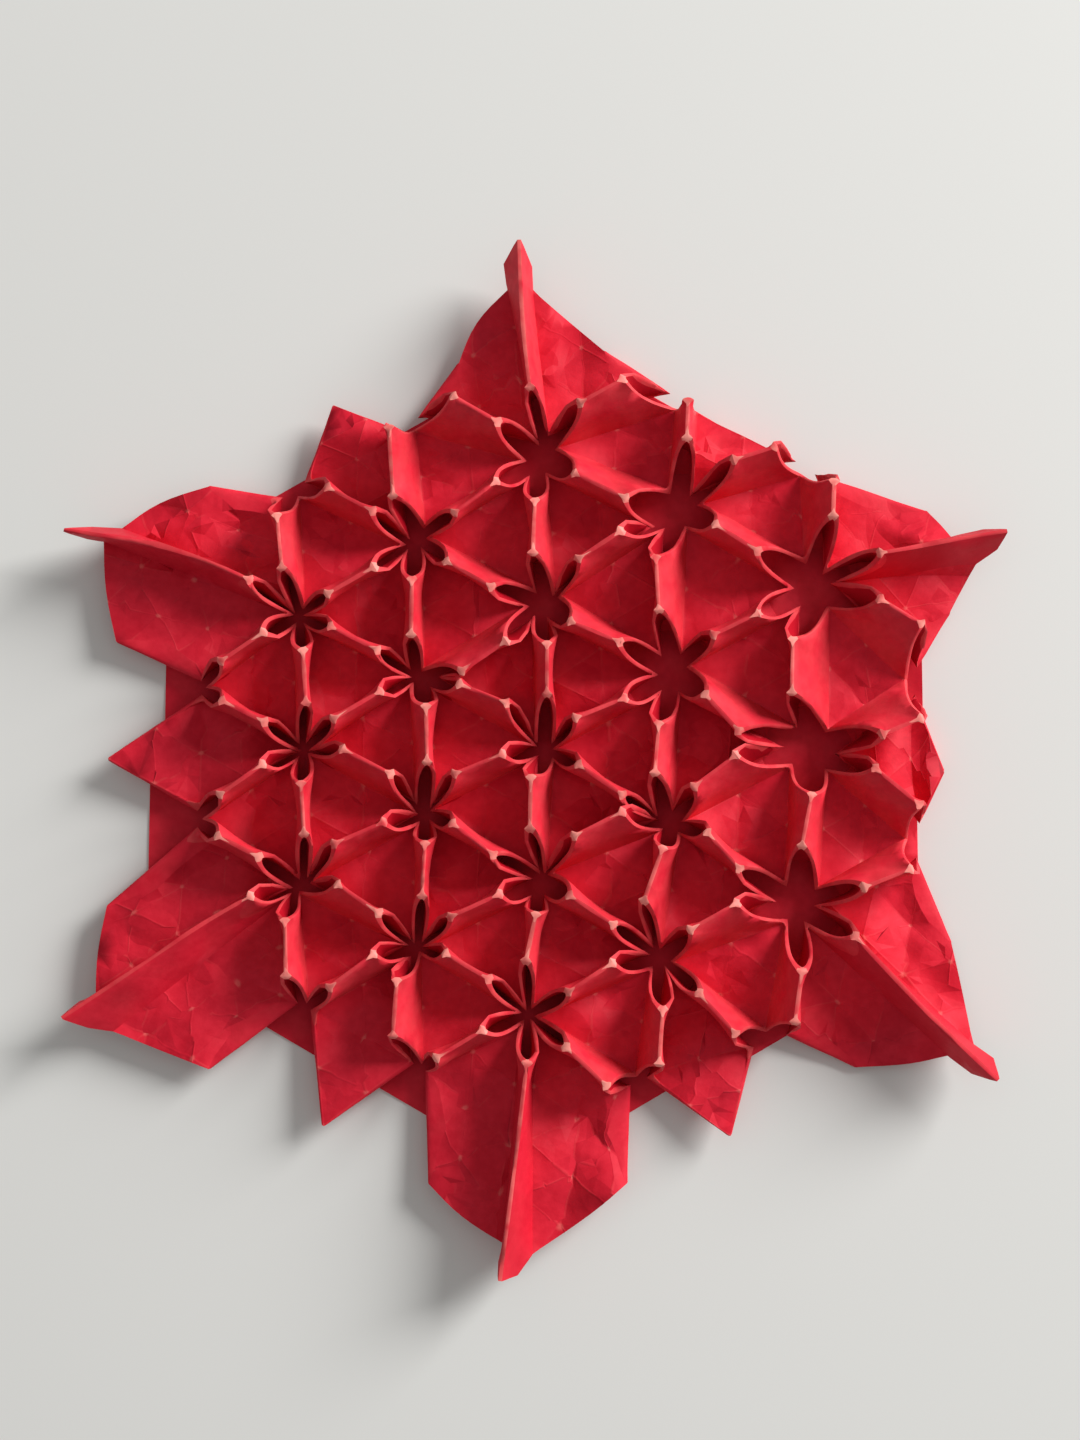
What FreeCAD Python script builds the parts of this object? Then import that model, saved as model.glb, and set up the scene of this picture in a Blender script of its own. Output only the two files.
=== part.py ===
# Origami star: one hexagon of paper folded on a triangular grid.
# Petal-shaped wells stand in a triangular lattice. Tall pleats join them, and
# flat cells lie between the pleats. Six leaves and six flaps end the sheet.
# Millimetres, Z up. The origin is under the middle well, on the table.
import FreeCAD, Part
import math
import os

# Driving sizes
STEP = 7.1                     # one step of the folded grid
SHEET = 0.15                   # paper thickness
CELL_LEVEL = 2.4               # the cells' height above the wells' feet
PLEAT_RISE = 5.9               # the pleats' height above the cells
CREST_WIDTH = 0.4              # a pleat's folded top edge
KNOB_WIDTH = 0.9               # the blunt end of a pleat's top edge
KNOB_LENGTH = 1.1
LIP = 0.4                      # width of the folded lip around a well
LIP_DROP = 0.32                # how far the lip turns down at a petal's root
PETAL_BOW = 0.1                # how far a petal's sides bow apart
FULLNESS = 0.12                # how far a pleat's sides swell out
ROOT_LIP = 0.36                # the lip's reach at a petal's root
NARROWEST = 1.5                # the narrowest pleat foot
LEAN_MIDDLE = -0.5             # how far the upright pleats' tops lean to the right
LEAN_RATE = -0.05              # the change in that for each millimetre to the right
LEAF_END_WIDTH = 3.0           # a leaf's pleat foot at the paper's edge
LEAF_LIFT = 0.6                # how far a leaf rises towards its tip
LEAF_BOW = 0.8                 # how far a leaf's end edges bow out
WEB_GAP = 0.5                  # half the clear space between webs under a flap
BLUNT = 0.15                   # evens out the thickness at sharp corners
LONGEST_MITRE = 2.0            # in units of half the paper's thickness

# Sizes that follow from the grid
FOOT_CORNER = 0.98 * STEP      # well foot, middle to corner
FOOT_FLAT = 0.85 * STEP        # well foot, middle to flat
WEB_HALF = 1.634 * STEP        # border well, half of its hidden paper edge
WEB_TUCK = 0.35 * STEP         # how far that edge runs on under a leaf's corner

# Well centres measured in the photograph, from the bottom up. Column and row
# count steps along the lattice's 30 and 90 degree axes.
COLUMNS = {
    -3: (1, [(-46.8, -10.5), (-46.4, 7.1)]),
    -2: (-1, [(-31.9, -35.9), (-33.9, -18.6), (-32.2, -0.7), (-33.4, 17.5), (-34.4, 35.0)]),
    -1: (-2, [(-16.6, -43.8), (-17.1, -27.3), (-16.0, -8.9), (-16.8, 9.0), (-17.4, 27.2),
              (-18.6, 43.7)]),
    0: (-2, [(-2.4, -36.9), (-1.1, -17.9), (0.0, 0.0), (-0.1, 19.4), (-0.4, 38.6)]),
    1: (-3, [(12.9, -45.8), (15.4, -29.2), (16.6, -9.7), (17.2, 9.3), (18.6, 31.5), (19.6, 47.2)]),
    2: (-3, [(30.5, -41.2), (34.2, -21.9), (36.0, -1.1), (36.4, 20.5), (36.0, 37.8)]),
    3: (-2, [(51.3, -13.5), (51.0, 8.0)]),
}

# Leaves by lattice direction: tip of the pleat, then the blade's corner on
# its anticlockwise and its clockwise side
LEAVES = {
    0: ((62.1, 27.2, 7.5), (48.1, 30.8, 2.6), (52.6, 13.0, 3.0)),
    1: ((-3.2, 67.5, 7.5), (-11.4, 51.5, 3.0), (8.3, 53.2, 3.0)),
    2: ((-63.7, 27.6, 7.5), (-57.3, 13.4, 3.0), (-45.3, 34.5, 3.0)),
    3: ((-62.6, -36.8, 7.5), (-44.1, -43.5, 3.0), (-57.9, -22.3, 3.0)),
    4: ((-5.5, -70.6, 7.5), (10.7, -58.7, 3.0), (-15.1, -58.7, 3.0)),
    5: ((59.2, -44.7, 7.5), (54.0, -27.0, 3.0), (41.5, -43.4, 3.0)),
}

# Tips of the flaps, each anticlockwise of the leaf with the same number
FLAPS = {
    0: (29.6, 40.0, 1.2),
    1: (-28.4, 45.4, 3.4),
    2: (-57.9, -2.6, 3.6),
    3: (-28.9, -50.9, 3.6),
    4: (24.5, -52.1, 3.6),
    5: (53.4, -4.2, 3.4),
}

# Reach of the low web that ends each border well, from its middle
WEBS = {
    (2, 1): 1.0, (1, 2): 1.0,
    (-1, 3): 2.0, (-2, 3): 2.0,
    (-3, 2): 4.6, (-3, 1): 6.1,
    (-2, -1): 4.4, (-1, -2): 4.6,
    (1, -3): 2.4, (2, -3): 1.5,
    (3, -2): 0.8, (3, -1): 0.8,
}

NEIGHBOUR = [(1, 0), (0, 1), (-1, 1), (-1, 0), (0, -1), (1, -1)]
FOOT_LEVEL = SHEET / 2


def well_centres():
    """Every well's place, by its lattice address."""
    centres = {}
    for column, (first_row, places) in COLUMNS.items():
        for number, place in enumerate(places):
            centres[(column, first_row + number)] = place
    return centres


WELLS = well_centres()


def ring(well):
    """How many lattice steps a well is from the middle one."""
    column, row = well
    return max(abs(column), abs(row), abs(column + row))


def beside(well, k):
    """The address next to a well in lattice direction k."""
    step = NEIGHBOUR[k % 6]
    return (well[0] + step[0], well[1] + step[1])


def heading(start, end):
    """The angle of the line from one place to another."""
    return math.atan2(end[1] - start[1], end[0] - start[0])


def along(start, angle, reach, side=0.0):
    """The place at a distance along an angle, then to its left by side."""
    x = start[0] + reach * math.cos(angle) - side * math.sin(angle)
    y = start[1] + reach * math.sin(angle) + side * math.cos(angle)
    return (x, y)


def midway(a, b, part=0.5):
    return tuple(p + (q - p) * part for p, q in zip(a, b))


class Well:
    """One petalled well: its pleats' directions, opening and reach."""

    def __init__(self, address):
        self.address = address
        self.middle = WELLS[address]
        self.inside = ring(address) < 3
        self.angle = {}
        self.spacing = {}
        for k in range(6):
            self.look_towards(k)
        spans = list(self.spacing.values())
        mean = sum(spans) / len(spans)
        self.opening = max(NARROWEST, (mean - 2 * STEP) / math.sqrt(3))

    def look_towards(self, k):
        other = beside(self.address, k)
        if other in WELLS and min(ring(other), ring(self.address)) < 3:
            place = WELLS[other]
            self.angle[k] = heading(self.middle, place)
            self.spacing[k] = math.dist(self.middle, place)
        elif self.inside:
            self.angle[k] = heading(self.middle, LEAVES[k][0])

    def pleats(self):
        return sorted(self.angle)

    def petal_reach(self, k):
        """Middle to petal tip, so that a pleat's top edge is one step long."""
        if k in self.spacing:
            return (self.spacing[k] - STEP) / 2
        return STEP / 2 + 0.866 * self.opening

    def root_angle(self, k):
        """The direction of the petal root between pleats k and k + 1."""
        low = self.angle.get(k)
        high = self.angle.get((k + 1) % 6)
        if low is None:
            return high - math.radians(30)
        if high is None:
            return low + math.radians(30)
        turn = (high - low) % (2 * math.pi)
        return low + turn / 2


class Sheet:
    """The paper's middle surface: named points and triangles."""

    def __init__(self):
        self.points = []
        self.number = {}
        self.triangles = []

    def add(self, name, place, level):
        self.number[name] = len(self.points)
        self.points.append((place[0], place[1], level))

    def at(self, name):
        return self.points[self.number[name]]

    def face(self, *names):
        """A face, anticlockwise on the paper's front, as a fan."""
        corners = [self.number[name] for name in names]
        for second, third in zip(corners[1:], corners[2:]):
            self.triangles.append((corners[0], second, third))


def leant(place, k, part=1.0):
    """A point on pleat k moved sideways by the pleat's lean, if it has one."""
    if k % 3 != 1:
        return place
    return (place[0] + part * (LEAN_MIDDLE + LEAN_RATE * place[0]), place[1])


def add_root(sheet, well, k):
    """The low point between two petals, its lip and the foot's corner."""
    site = well.address
    angle = well.root_angle(k)
    sheet.add(("root", site, k), along(well.middle, angle, well.opening), CELL_LEVEL)
    sheet.add(("root lip", site, k), along(well.middle, angle, well.opening - ROOT_LIP),
              CELL_LEVEL - LIP_DROP)
    sheet.add(("foot", site, k), along(well.middle, angle, FOOT_CORNER), FOOT_LEVEL)


def root_beside(k, side):
    """Which root lies on a petal's anticlockwise (1) or clockwise side."""
    return k if side == 1 else (k - 1) % 6


def pleat_half(sheet, well, k, side, reach):
    """Half of a pleat's foot, a given way out from the well's middle."""
    near = sheet.at(("root", well.address, root_beside(k, side)))
    other = beside(well.address, k)
    if other in WELLS:
        far = sheet.at(("root", other, root_beside((k + 3) % 6, -side)))
    else:
        far = along(LEAVES[k][0], well.angle[k], -STEP / 2, side * LEAF_END_WIDTH / 2)
    angle = well.angle[k]
    ways = []
    for place in (near, far):
        x, y = place[0] - well.middle[0], place[1] - well.middle[1]
        ways.append((x * math.cos(angle) + y * math.sin(angle),
                     side * (y * math.cos(angle) - x * math.sin(angle))))
    (near_reach, near_half), (far_reach, far_half) = ways
    part = (reach - near_reach) / (far_reach - near_reach)
    return near_half + (far_half - near_half) * part


def add_petal(sheet, well, k):
    """One petal's lip and the wall points below it, on both sides."""
    site = well.address
    angle = well.angle[k]
    reach = well.petal_reach(k)
    crest = CELL_LEVEL + PLEAT_RISE
    belly_reach = (0.866 * well.opening + reach) / 2
    wall_reach = FOOT_FLAT + (reach - LIP - FOOT_FLAT) * CELL_LEVEL / crest
    for side in (1, -1):
        half = pleat_half(sheet, well, k, side, belly_reach)
        belly = half / 2 + KNOB_WIDTH / 4 + PETAL_BOW
        wall = max(0.14, pleat_half(sheet, well, k, side, wall_reach) - LIP)
        rows = (("tip", reach, KNOB_WIDTH / 2, crest, 1.0),
                ("tip lip", reach - LIP, 0.16, crest, 1.0),
                ("belly", belly_reach, belly, CELL_LEVEL + PLEAT_RISE * 0.5, 0.5),
                ("belly lip", belly_reach, belly - LIP, CELL_LEVEL + PLEAT_RISE * 0.48, 0.5),
                ("wall", wall_reach, wall, CELL_LEVEL, 0.0))
        for name, out, apart, level, part in rows:
            place = leant(along(well.middle, angle, out, side * apart), k, part)
            sheet.add((name, site, k, side), place, level)


def petal_faces(sheet, well, k):
    """The lip and inner wall of one petal."""
    site = well.address
    for side in (1, -1):
        root = root_beside(k, side)
        tip = ("tip", site, k, side)
        tip_lip = ("tip lip", site, k, side)
        belly = ("belly", site, k, side)
        belly_lip = ("belly lip", site, k, side)
        end = ("root", site, root)
        end_lip = ("root lip", site, root)
        wall = ("wall", site, k, side)
        foot = ("foot", site, root)
        for names in ((tip_lip, tip, belly, belly_lip), (belly_lip, belly, end, end_lip),
                      (tip_lip, belly_lip, wall), (belly_lip, end_lip, wall),
                      (end_lip, foot, wall)):
            sheet.face(*names[::side])
    sheet.face(("tip lip", site, k, -1), ("tip", site, k, -1),
               ("tip", site, k, 1), ("tip lip", site, k, 1))
    sheet.face(("tip lip", site, k, -1), ("tip lip", site, k, 1),
               ("wall", site, k, 1), ("wall", site, k, -1))
    sheet.face(("wall", site, k, -1), ("wall", site, k, 1),
               ("foot", site, k), ("foot", site, (k - 1) % 6))


def add_feet(sheet, well):
    """The roots and foot corners of a well, and its floor's inner point."""
    pleats = well.pleats()
    floor = well.middle
    if not well.inside:
        floor = along(floor, heading(floor, (0, 0)), 0.35 * STEP)
    sheet.add(("middle", well.address), floor, FOOT_LEVEL)
    for k in sorted({root_beside(p, side) for p in pleats for side in (1, -1)}):
        add_root(sheet, well, k)


def make_well(sheet, well):
    site = well.address
    for k in well.pleats():
        add_petal(sheet, well, k)
        petal_faces(sheet, well, k)
        sheet.face(("middle", site), ("foot", site, (k - 1) % 6), ("foot", site, k))


def add_crest(sheet, well, k, angle):
    """The narrow part of a pleat's top edge, just past the blunt end."""
    place = along(well.middle, well.angle[k], well.petal_reach(k))
    for side in (1, -1):
        past = along(place, angle, KNOB_LENGTH, side * CREST_WIDTH / 2)
        sheet.add(("crest", well.address, k, side), leant(past, k), CELL_LEVEL + PLEAT_RISE)


def pleat_side(sheet, start, k, end):
    """The left side of the pleat from one well to the next, a little full."""
    back = (k + 3) % 6
    root = ("root", start, k)
    far_root = ("root", end, (back - 1) % 6)
    crest = ("crest", start, k, 1)
    far_crest = ("crest", end, back, -1)
    belly = ("belly", start, k, 1)
    far_belly = ("belly", end, back, -1)
    middle = midway(midway(sheet.at(crest), sheet.at(far_crest)),
                    midway(sheet.at(root), sheet.at(far_root)))
    angle = heading(sheet.at(root), sheet.at(far_root))
    flank = ("flank", start, k)
    sheet.add(flank, along(middle, angle, 0, FULLNESS), middle[2])
    sheet.face(("tip", start, k, 1), crest, belly)
    sheet.face(belly, crest, root)
    for names in ((root, crest), (crest, far_crest), (far_crest, far_root), (far_root, root)):
        sheet.face(*names, flank)
    sheet.face(far_root, far_crest, far_belly)
    sheet.face(far_belly, far_crest, ("tip", end, back, -1))


def make_pleat(sheet, wells, start, k):
    end = beside(start, k)
    back = (k + 3) % 6
    angle = wells[start].angle[k]
    add_crest(sheet, wells[start], k, angle)
    add_crest(sheet, wells[end], back, angle + math.pi)
    pleat_side(sheet, start, k, end)
    pleat_side(sheet, end, back, start)
    for site, way in ((start, k), (end, back)):
        sheet.face(("tip", site, way, -1), ("crest", site, way, -1),
                   ("crest", site, way, 1), ("tip", site, way, 1))
    sheet.face(("crest", start, k, -1), ("crest", end, back, 1),
               ("crest", end, back, -1), ("crest", start, k, 1))


def make_cell(sheet, site, k):
    """The flat triangle between a well and its neighbours k and k + 1."""
    right = beside(site, k)
    left = beside(site, (k + 1) % 6)
    sheet.face(("root", site, k), ("root", right, (k + 2) % 6), ("root", left, (k + 4) % 6))


def add_leaf(sheet, well, k):
    """The outer points of a leaf, by side, 1 being anticlockwise."""
    tip, left_corner, right_corner = LEAVES[k]
    angle = well.angle[k]
    crest = CELL_LEVEL + PLEAT_RISE
    middle = midway(along(well.middle, angle, well.petal_reach(k)), tip)
    add_crest(sheet, well, k, angle)
    for side, corner in ((1, left_corner), (-1, right_corner)):
        near = sheet.at(("root", well.address, root_beside(k, side)))
        neck = along(tip, angle, -STEP / 2, side * LEAF_END_WIDTH / 2)
        edge = along(midway(neck, corner), heading((0, 0), tip), LEAF_BOW)
        level = CELL_LEVEL + LEAF_LIFT
        sheet.add(("neck", k, side), neck, level)
        sheet.add(("hinge", k, side), midway(near, neck), CELL_LEVEL + LEAF_LIFT / 2)
        sheet.add(("edge", k, side), edge, (level + corner[2]) / 2)
        sheet.add(("corner", k, side), corner, corner[2])
        ridge = along(middle, angle, 0, side * CREST_WIDTH / 2)
        sheet.add(("ridge", k, side), leant(ridge, k, 0.5), crest)
        sheet.add(("point", k, side), along(tip, angle, 0, side * CREST_WIDTH / 2), tip[2])


def make_leaf(sheet, wells, k):
    """A leaf: the pleat from a corner well to the paper's corner, and its
    two blades."""
    site = tuple(2 * c for c in NEIGHBOUR[k])
    for side in (1, -1):
        root = ("root", site, root_beside(k, side))
        blade_root = ("root", beside(site, k + side), (k + 4) % 6 if side == 1 else (k + 1) % 6)
        tip = ("tip", site, k, side)
        crest = ("crest", site, k, side)
        belly = ("belly", site, k, side)
        ridge = ("ridge", k, side)
        point = ("point", k, side)
        hinge = ("hinge", k, side)
        neck = ("neck", k, side)
        edge = ("edge", k, side)
        corner = ("corner", k, side)
        for names in ((tip, crest, belly), (belly, crest, root), (root, crest, ridge),
                      (root, ridge, hinge), (hinge, ridge, point), (hinge, point, neck),
                      (root, hinge, blade_root), (hinge, corner, blade_root),
                      (hinge, edge, corner), (hinge, neck, edge)):
            sheet.face(*names[::side])
    rows = (("tip", site, k), ("crest", site, k), ("ridge", k), ("point", k))
    for low, high in zip(rows, rows[1:]):
        sheet.face(low + (-1,), high + (-1,), high + (1,), low + (1,))


def make_flap(sheet, k):
    """The pointed flap between leaves k and k + 1."""
    site = tuple(a + b for a, b in zip(NEIGHBOUR[k], NEIGHBOUR[(k + 1) % 6]))
    right = beside(site, k)
    left = beside(site, (k + 1) % 6)
    tip = FLAPS[k]
    sheet.add(("flap", k), tip, tip[2])
    right_root = ("root", right, (k + 2) % 6)
    left_root = ("root", left, (k + 4) % 6)
    sheet.face(("root", site, k), right_root, left_root)
    sheet.face(right_root, ("flap", k), left_root)
    make_web(sheet, right, k, left, ("corner", k, 1), ("flap", k))
    make_web(sheet, left, k, right, ("flap", k), ("corner", (k + 1) % 6, -1))


def web_corner(site, k, end, side, most):
    """Where a web's hidden corner lies, under the leaf or flap beside it."""
    middle = WELLS[site]
    out = math.radians(60 + 60 * k)
    x, y = end[0] - middle[0], end[1] - middle[1]
    ahead = x * math.cos(out) + y * math.sin(out)
    aside = side * (y * math.cos(out) - x * math.sin(out))
    reach = max(-1.2, min(WEBS[site], ahead - 1.0))
    return along(middle, out, reach, side * min(most, aside + WEB_TUCK))


def make_web(sheet, site, k, twin, low_end, high_end):
    """The low web of paper from a border well out to the paper's edge. Its
    two sides turn back under the leaf and the flap beside it."""
    half_gap = math.dist(WELLS[site], WELLS[twin]) / 2 - WEB_GAP
    for name, end, turn, side in (("low", low_end, (k + 4) % 6, -1),
                                  ("high", high_end, (k + 2) % 6, 1)):
        x, y, level = sheet.at(end)
        lip = along((x, y), heading((x, y), WELLS[site]), ROOT_LIP)
        sheet.add((name, site), lip, level - LIP_DROP)
        most = half_gap if end[0] == "flap" else WEB_HALF
        sheet.add((name + " web", site), web_corner(site, k, (x, y), side, most), FOOT_LEVEL)
        for names in ((("root", site, turn), end, (name, site), ("root lip", site, turn)),
                      (("root lip", site, turn), (name, site), (name + " web", site),
                       ("foot", site, turn)),
                      (("middle", site), ("foot", site, turn), (name + " web", site))):
            sheet.face(*names[::-side])
    sheet.face(("middle", site), ("low web", site), ("high web", site))


def fold():
    """The whole folded sheet's middle surface."""
    sheet = Sheet()
    wells = {site: Well(site) for site in WELLS}
    for well in wells.values():
        add_feet(sheet, well)
    for well in wells.values():
        make_well(sheet, well)
    for site in WELLS:
        for k in range(3):
            if beside(site, k) in WELLS and min(ring(site), ring(beside(site, k))) < 3:
                make_pleat(sheet, wells, site, k)
    for site in WELLS:
        for k in (0, 1):
            around = (site, beside(site, k), beside(site, k + 1))
            if all(a in WELLS for a in around) and sum(ring(a) == 3 for a in around) < 2:
                make_cell(sheet, site, k)
    for k in range(6):
        add_leaf(sheet, wells[tuple(2 * c for c in NEIGHBOUR[k])], k)
        make_leaf(sheet, wells, k)
    for k in range(6):
        make_flap(sheet, k)
    return sheet


def cross(a, b):
    return (a[1] * b[2] - a[2] * b[1], a[2] * b[0] - a[0] * b[2], a[0] * b[1] - a[1] * b[0])


def less(a, b):
    return tuple(p - q for p, q in zip(a, b))


def length(a):
    return math.sqrt(sum(p * p for p in a))


def corner_angle(places, turn):
    """The angle of a triangle at one of its corners."""
    one = less(places[(turn + 1) % 3], places[turn])
    two = less(places[(turn + 2) % 3], places[turn])
    cosine = sum(p * q for p, q in zip(one, two)) / (length(one) * length(two))
    return math.acos(max(-1.0, min(1.0, cosine)))


def determinant(rows):
    return sum(p * q for p, q in zip(rows[0], cross(rows[1], rows[2])))


def solve(rows, target):
    """Solves three linear equations by Cramer's rule."""
    whole = determinant(rows)
    answer = []
    for column in range(3):
        swapped = [list(row) for row in rows]
        for row, value in zip(swapped, target):
            row[column] = value
        answer.append(determinant(swapped) / whole)
    return tuple(answer)


def mitre(faces):
    """The step off the front that best clears every face round a point by
    one unit. Each face comes with its angle there, as its share."""
    rows = [[BLUNT if a == b else 0.0 for a in range(3)] for b in range(3)]
    target = [0.0, 0.0, 0.0]
    for normal, share in faces:
        for a in range(3):
            target[a] += share * normal[a]
            for b in range(3):
                rows[a][b] += share * normal[a] * normal[b]
    step = solve(rows, target)
    return tuple(p * min(1.0, LONGEST_MITRE / length(step)) for p in step)


def outward(sheet):
    """Each point's step off the paper's front, for one unit of thickness."""
    around = [[] for _ in sheet.points]
    for triangle in sheet.triangles:
        places = [sheet.points[n] for n in triangle]
        normal = cross(less(places[1], places[0]), less(places[2], places[0]))
        unit = tuple(p / length(normal) for p in normal)
        for turn, number in enumerate(triangle):
            around[number].append((unit, corner_angle(places, turn)))
    return [mitre(faces) for faces in around]


def thicken(sheet):
    """Front and back surfaces half the paper's thickness away, and the strip
    that joins them around the paper's edge."""
    count = len(sheet.points)
    normals = outward(sheet)
    points = []
    for way in (1, -1):
        for place, normal in zip(sheet.points, normals):
            points.append(tuple(p + way * n * SHEET / 2 for p, n in zip(place, normal)))
    faces = list(sheet.triangles)
    faces += [(a + count, c + count, b + count) for a, b, c in sheet.triangles]
    edges = {(t[n], t[(n + 1) % 3]) for t in sheet.triangles for n in range(3)}
    for a, b in sorted(edges):
        if (b, a) not in edges:
            faces.append((a, a + count, b + count))
            faces.append((a, b + count, b))
    return points, faces


def main():
    points, faces = thicken(fold())
    vectors = [FreeCAD.Vector(*place) for place in points]
    shape = Part.Shape()
    shape.makeShapeFromMesh((vectors, faces), 0.001)
    solid = Part.Solid(shape.Shells[0])
    os.makedirs("parts", exist_ok=True)
    solid.exportStep("parts/folded_sheet.step")


main()
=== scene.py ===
# The origami star's look: the same fold as the solid, at full detail.
# The paper is one mesh, folded here in millimetres and scaled to metres.
import math
import random

import bmesh
import bpy
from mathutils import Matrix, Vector, noise


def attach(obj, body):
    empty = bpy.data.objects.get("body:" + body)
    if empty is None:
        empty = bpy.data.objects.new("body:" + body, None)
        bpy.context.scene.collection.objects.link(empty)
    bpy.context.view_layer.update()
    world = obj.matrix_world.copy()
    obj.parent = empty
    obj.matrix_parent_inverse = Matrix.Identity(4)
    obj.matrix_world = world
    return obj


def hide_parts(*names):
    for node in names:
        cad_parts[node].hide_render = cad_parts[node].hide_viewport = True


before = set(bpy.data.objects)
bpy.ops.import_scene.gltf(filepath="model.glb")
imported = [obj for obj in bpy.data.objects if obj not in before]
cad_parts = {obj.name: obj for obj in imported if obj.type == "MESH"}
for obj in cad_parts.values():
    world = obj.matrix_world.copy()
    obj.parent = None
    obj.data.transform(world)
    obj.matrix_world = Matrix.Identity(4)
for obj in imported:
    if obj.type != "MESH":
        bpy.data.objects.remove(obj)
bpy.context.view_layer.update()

MM = 0.001

# Camera, in the photograph's 1080 by 1440 pixels and in millimetres
PHOTO_WIDTH = 1080
PHOTO_HEIGHT = 1440
FOCAL_PIXELS = 2317
SENSOR = 36.0
CAMERA_ELEVATION = math.radians(84.1)
CAMERA_DISTANCE = 313.0
CAMERA_TARGET = (-0.4, 3.0, 0.0)

# Driving sizes of the fold
STEP = 7.1                     # one step of the folded grid
SHEET = 0.15                   # paper thickness
CELL_LEVEL = 2.4               # the cells' height above the wells' feet
PLEAT_RISE = 5.9               # the pleats' height above the cells
CREST_LEVEL = CELL_LEVEL + PLEAT_RISE
CREST_WIDTH = 0.34             # a pleat's folded top edge
KNOB_WIDTH = 1.3               # the blunt end of a pleat's top edge
KNOB_LENGTH = 0.5
LIP = 0.26                     # width of the folded lip around a well
LIP_TURN = 0.16                # how far the lip turns down beside a petal
LIP_DROP = 0.45                # how far the lip turns down at a petal's root
TIP_LIP_HALF = 0.3             # half the lip's width at a petal's tip
PETAL_BOWS = (0.6, 0.45, 0.6, 0.85, 0.85, 0.7)  # how far a petal's sides bow apart, by k
FULLNESS = 0.15                # how far a pleat's sides swell out
ROOT_LIP = 0.36                # the lip's reach at a petal's root
WALL_GAP = 0.32                # between a pleat's side and the well's wall inside it
WALL_PAST_TIP = 0.15           # how far the well's wall runs on under a petal's tip
NARROWEST = 1.5                # the narrowest pleat foot
HINGE_LEVEL = CELL_LEVEL + 0.3  # the middle of a leaf's fold beside its ridge
WEB_GAP = 0.5                  # half the clear space between webs under a flap
FOOT_CORNER = 0.98 * STEP      # well foot, middle to corner
WEB_HALF = 1.634 * STEP        # border well, half of its hidden paper edge
WEB_TUCK = 0.35 * STEP         # how far that edge runs on under a leaf's corner
WEB_BACK = -2.0                # the least reach of a web, behind its well's middle
WEB_HIDDEN = 1.0               # how far a web stays back under the paper above it
FLOOR_SHIFT = 0.35 * STEP      # a border well's floor point, inward of its middle
FOOT_LEVEL = SHEET / 2

# Points along a petal's side: how far up from root to tip, and share of its bow
PETAL_STOPS = (("belly", 0.38, 0.8), ("shoulder", 0.74, 0.95))

# Roots between the petals of each inner well in photograph pixels, by well
# and lattice direction 0 to 5, each root anticlockwise of its pleat
ROOTS = {
    (-2, 2): [(304, 606), (292, 610), (290, 614), (295, 625), (305, 625), (306, 615)],
    (-2, 1): [(307, 740), (297, 741), (298, 751), (297, 759), (310, 755), (312, 750)],
    (-2, 0): [(309, 875), (299, 876), (289, 888), (289, 895), (299, 894), (310, 883)],
    (-1, 2): [(425, 525), (407, 537), (403, 545), (406, 551), (423, 549), (429, 537)],
    (-1, 1): [(423, 668), (408, 667), (408, 677), (411, 684), (432, 689), (439, 677)],
    (-1, 0): [(432, 805), (415, 802), (418, 814), (418, 824), (431, 822), (433, 810)],
    (-1, -1): [(424, 940), (413, 941), (406, 945), (411, 956), (421, 954), (425, 947)],
    (0, 2): [(548, 436), (538, 442), (523, 461), (528, 478), (547, 475), (558, 448)],
    (0, 1): [(555, 593), (535, 590), (526, 606), (533, 618), (548, 620), (561, 596)],
    (0, 0): [(554, 741), (535, 740), (534, 745), (537, 757), (554, 760), (556, 749)],
    (0, -1): [(546, 870), (539, 870), (529, 878), (530, 898), (544, 897), (551, 873)],
    (0, -2): [(533, 1006), (525, 1008), (518, 1012), (522, 1023), (532, 1022), (538, 1017)],
    (1, 1): [(692, 493), (669, 490), (652, 527), (663, 530), (687, 528), (701, 504)],
    (1, 0): [(682, 651), (660, 653), (655, 675), (660, 693), (680, 694), (690, 666)],
    (1, -1): [(674, 808), (655, 814), (656, 820), (661, 831), (680, 834), (685, 821)],
    (1, -2): [(661, 946), (652, 945), (647, 954), (651, 969), (666, 968), (674, 962)],
    (2, 0): [(825, 571), (805, 560), (791, 588), (799, 608), (829, 609), (834, 583)],
    (2, -1): [(828, 729), (798, 728), (783, 747), (790, 766), (827, 771), (835, 754)],
    (2, -2): [(818, 887), (785, 883), (773, 901), (786, 922), (806, 925), (818, 906)],
}

# Middles of the wells along the border
BORDER_WELLS = {
    (-3, 1): (-46.8, -10.5),
    (-3, 2): (-46.4, 7.1),
    (-2, -1): (-31.9, -35.9),
    (-2, 3): (-34.4, 35.0),
    (-1, -2): (-16.6, -43.8),
    (-1, 3): (-18.6, 43.7),
    (1, -3): (12.9, -45.8),
    (1, 2): (19.6, 47.2),
    (2, -3): (30.5, -41.2),
    (2, 1): (36.0, 37.8),
    (3, -2): (51.3, -13.5),
    (3, -1): (51.0, 8.0),
}

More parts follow.
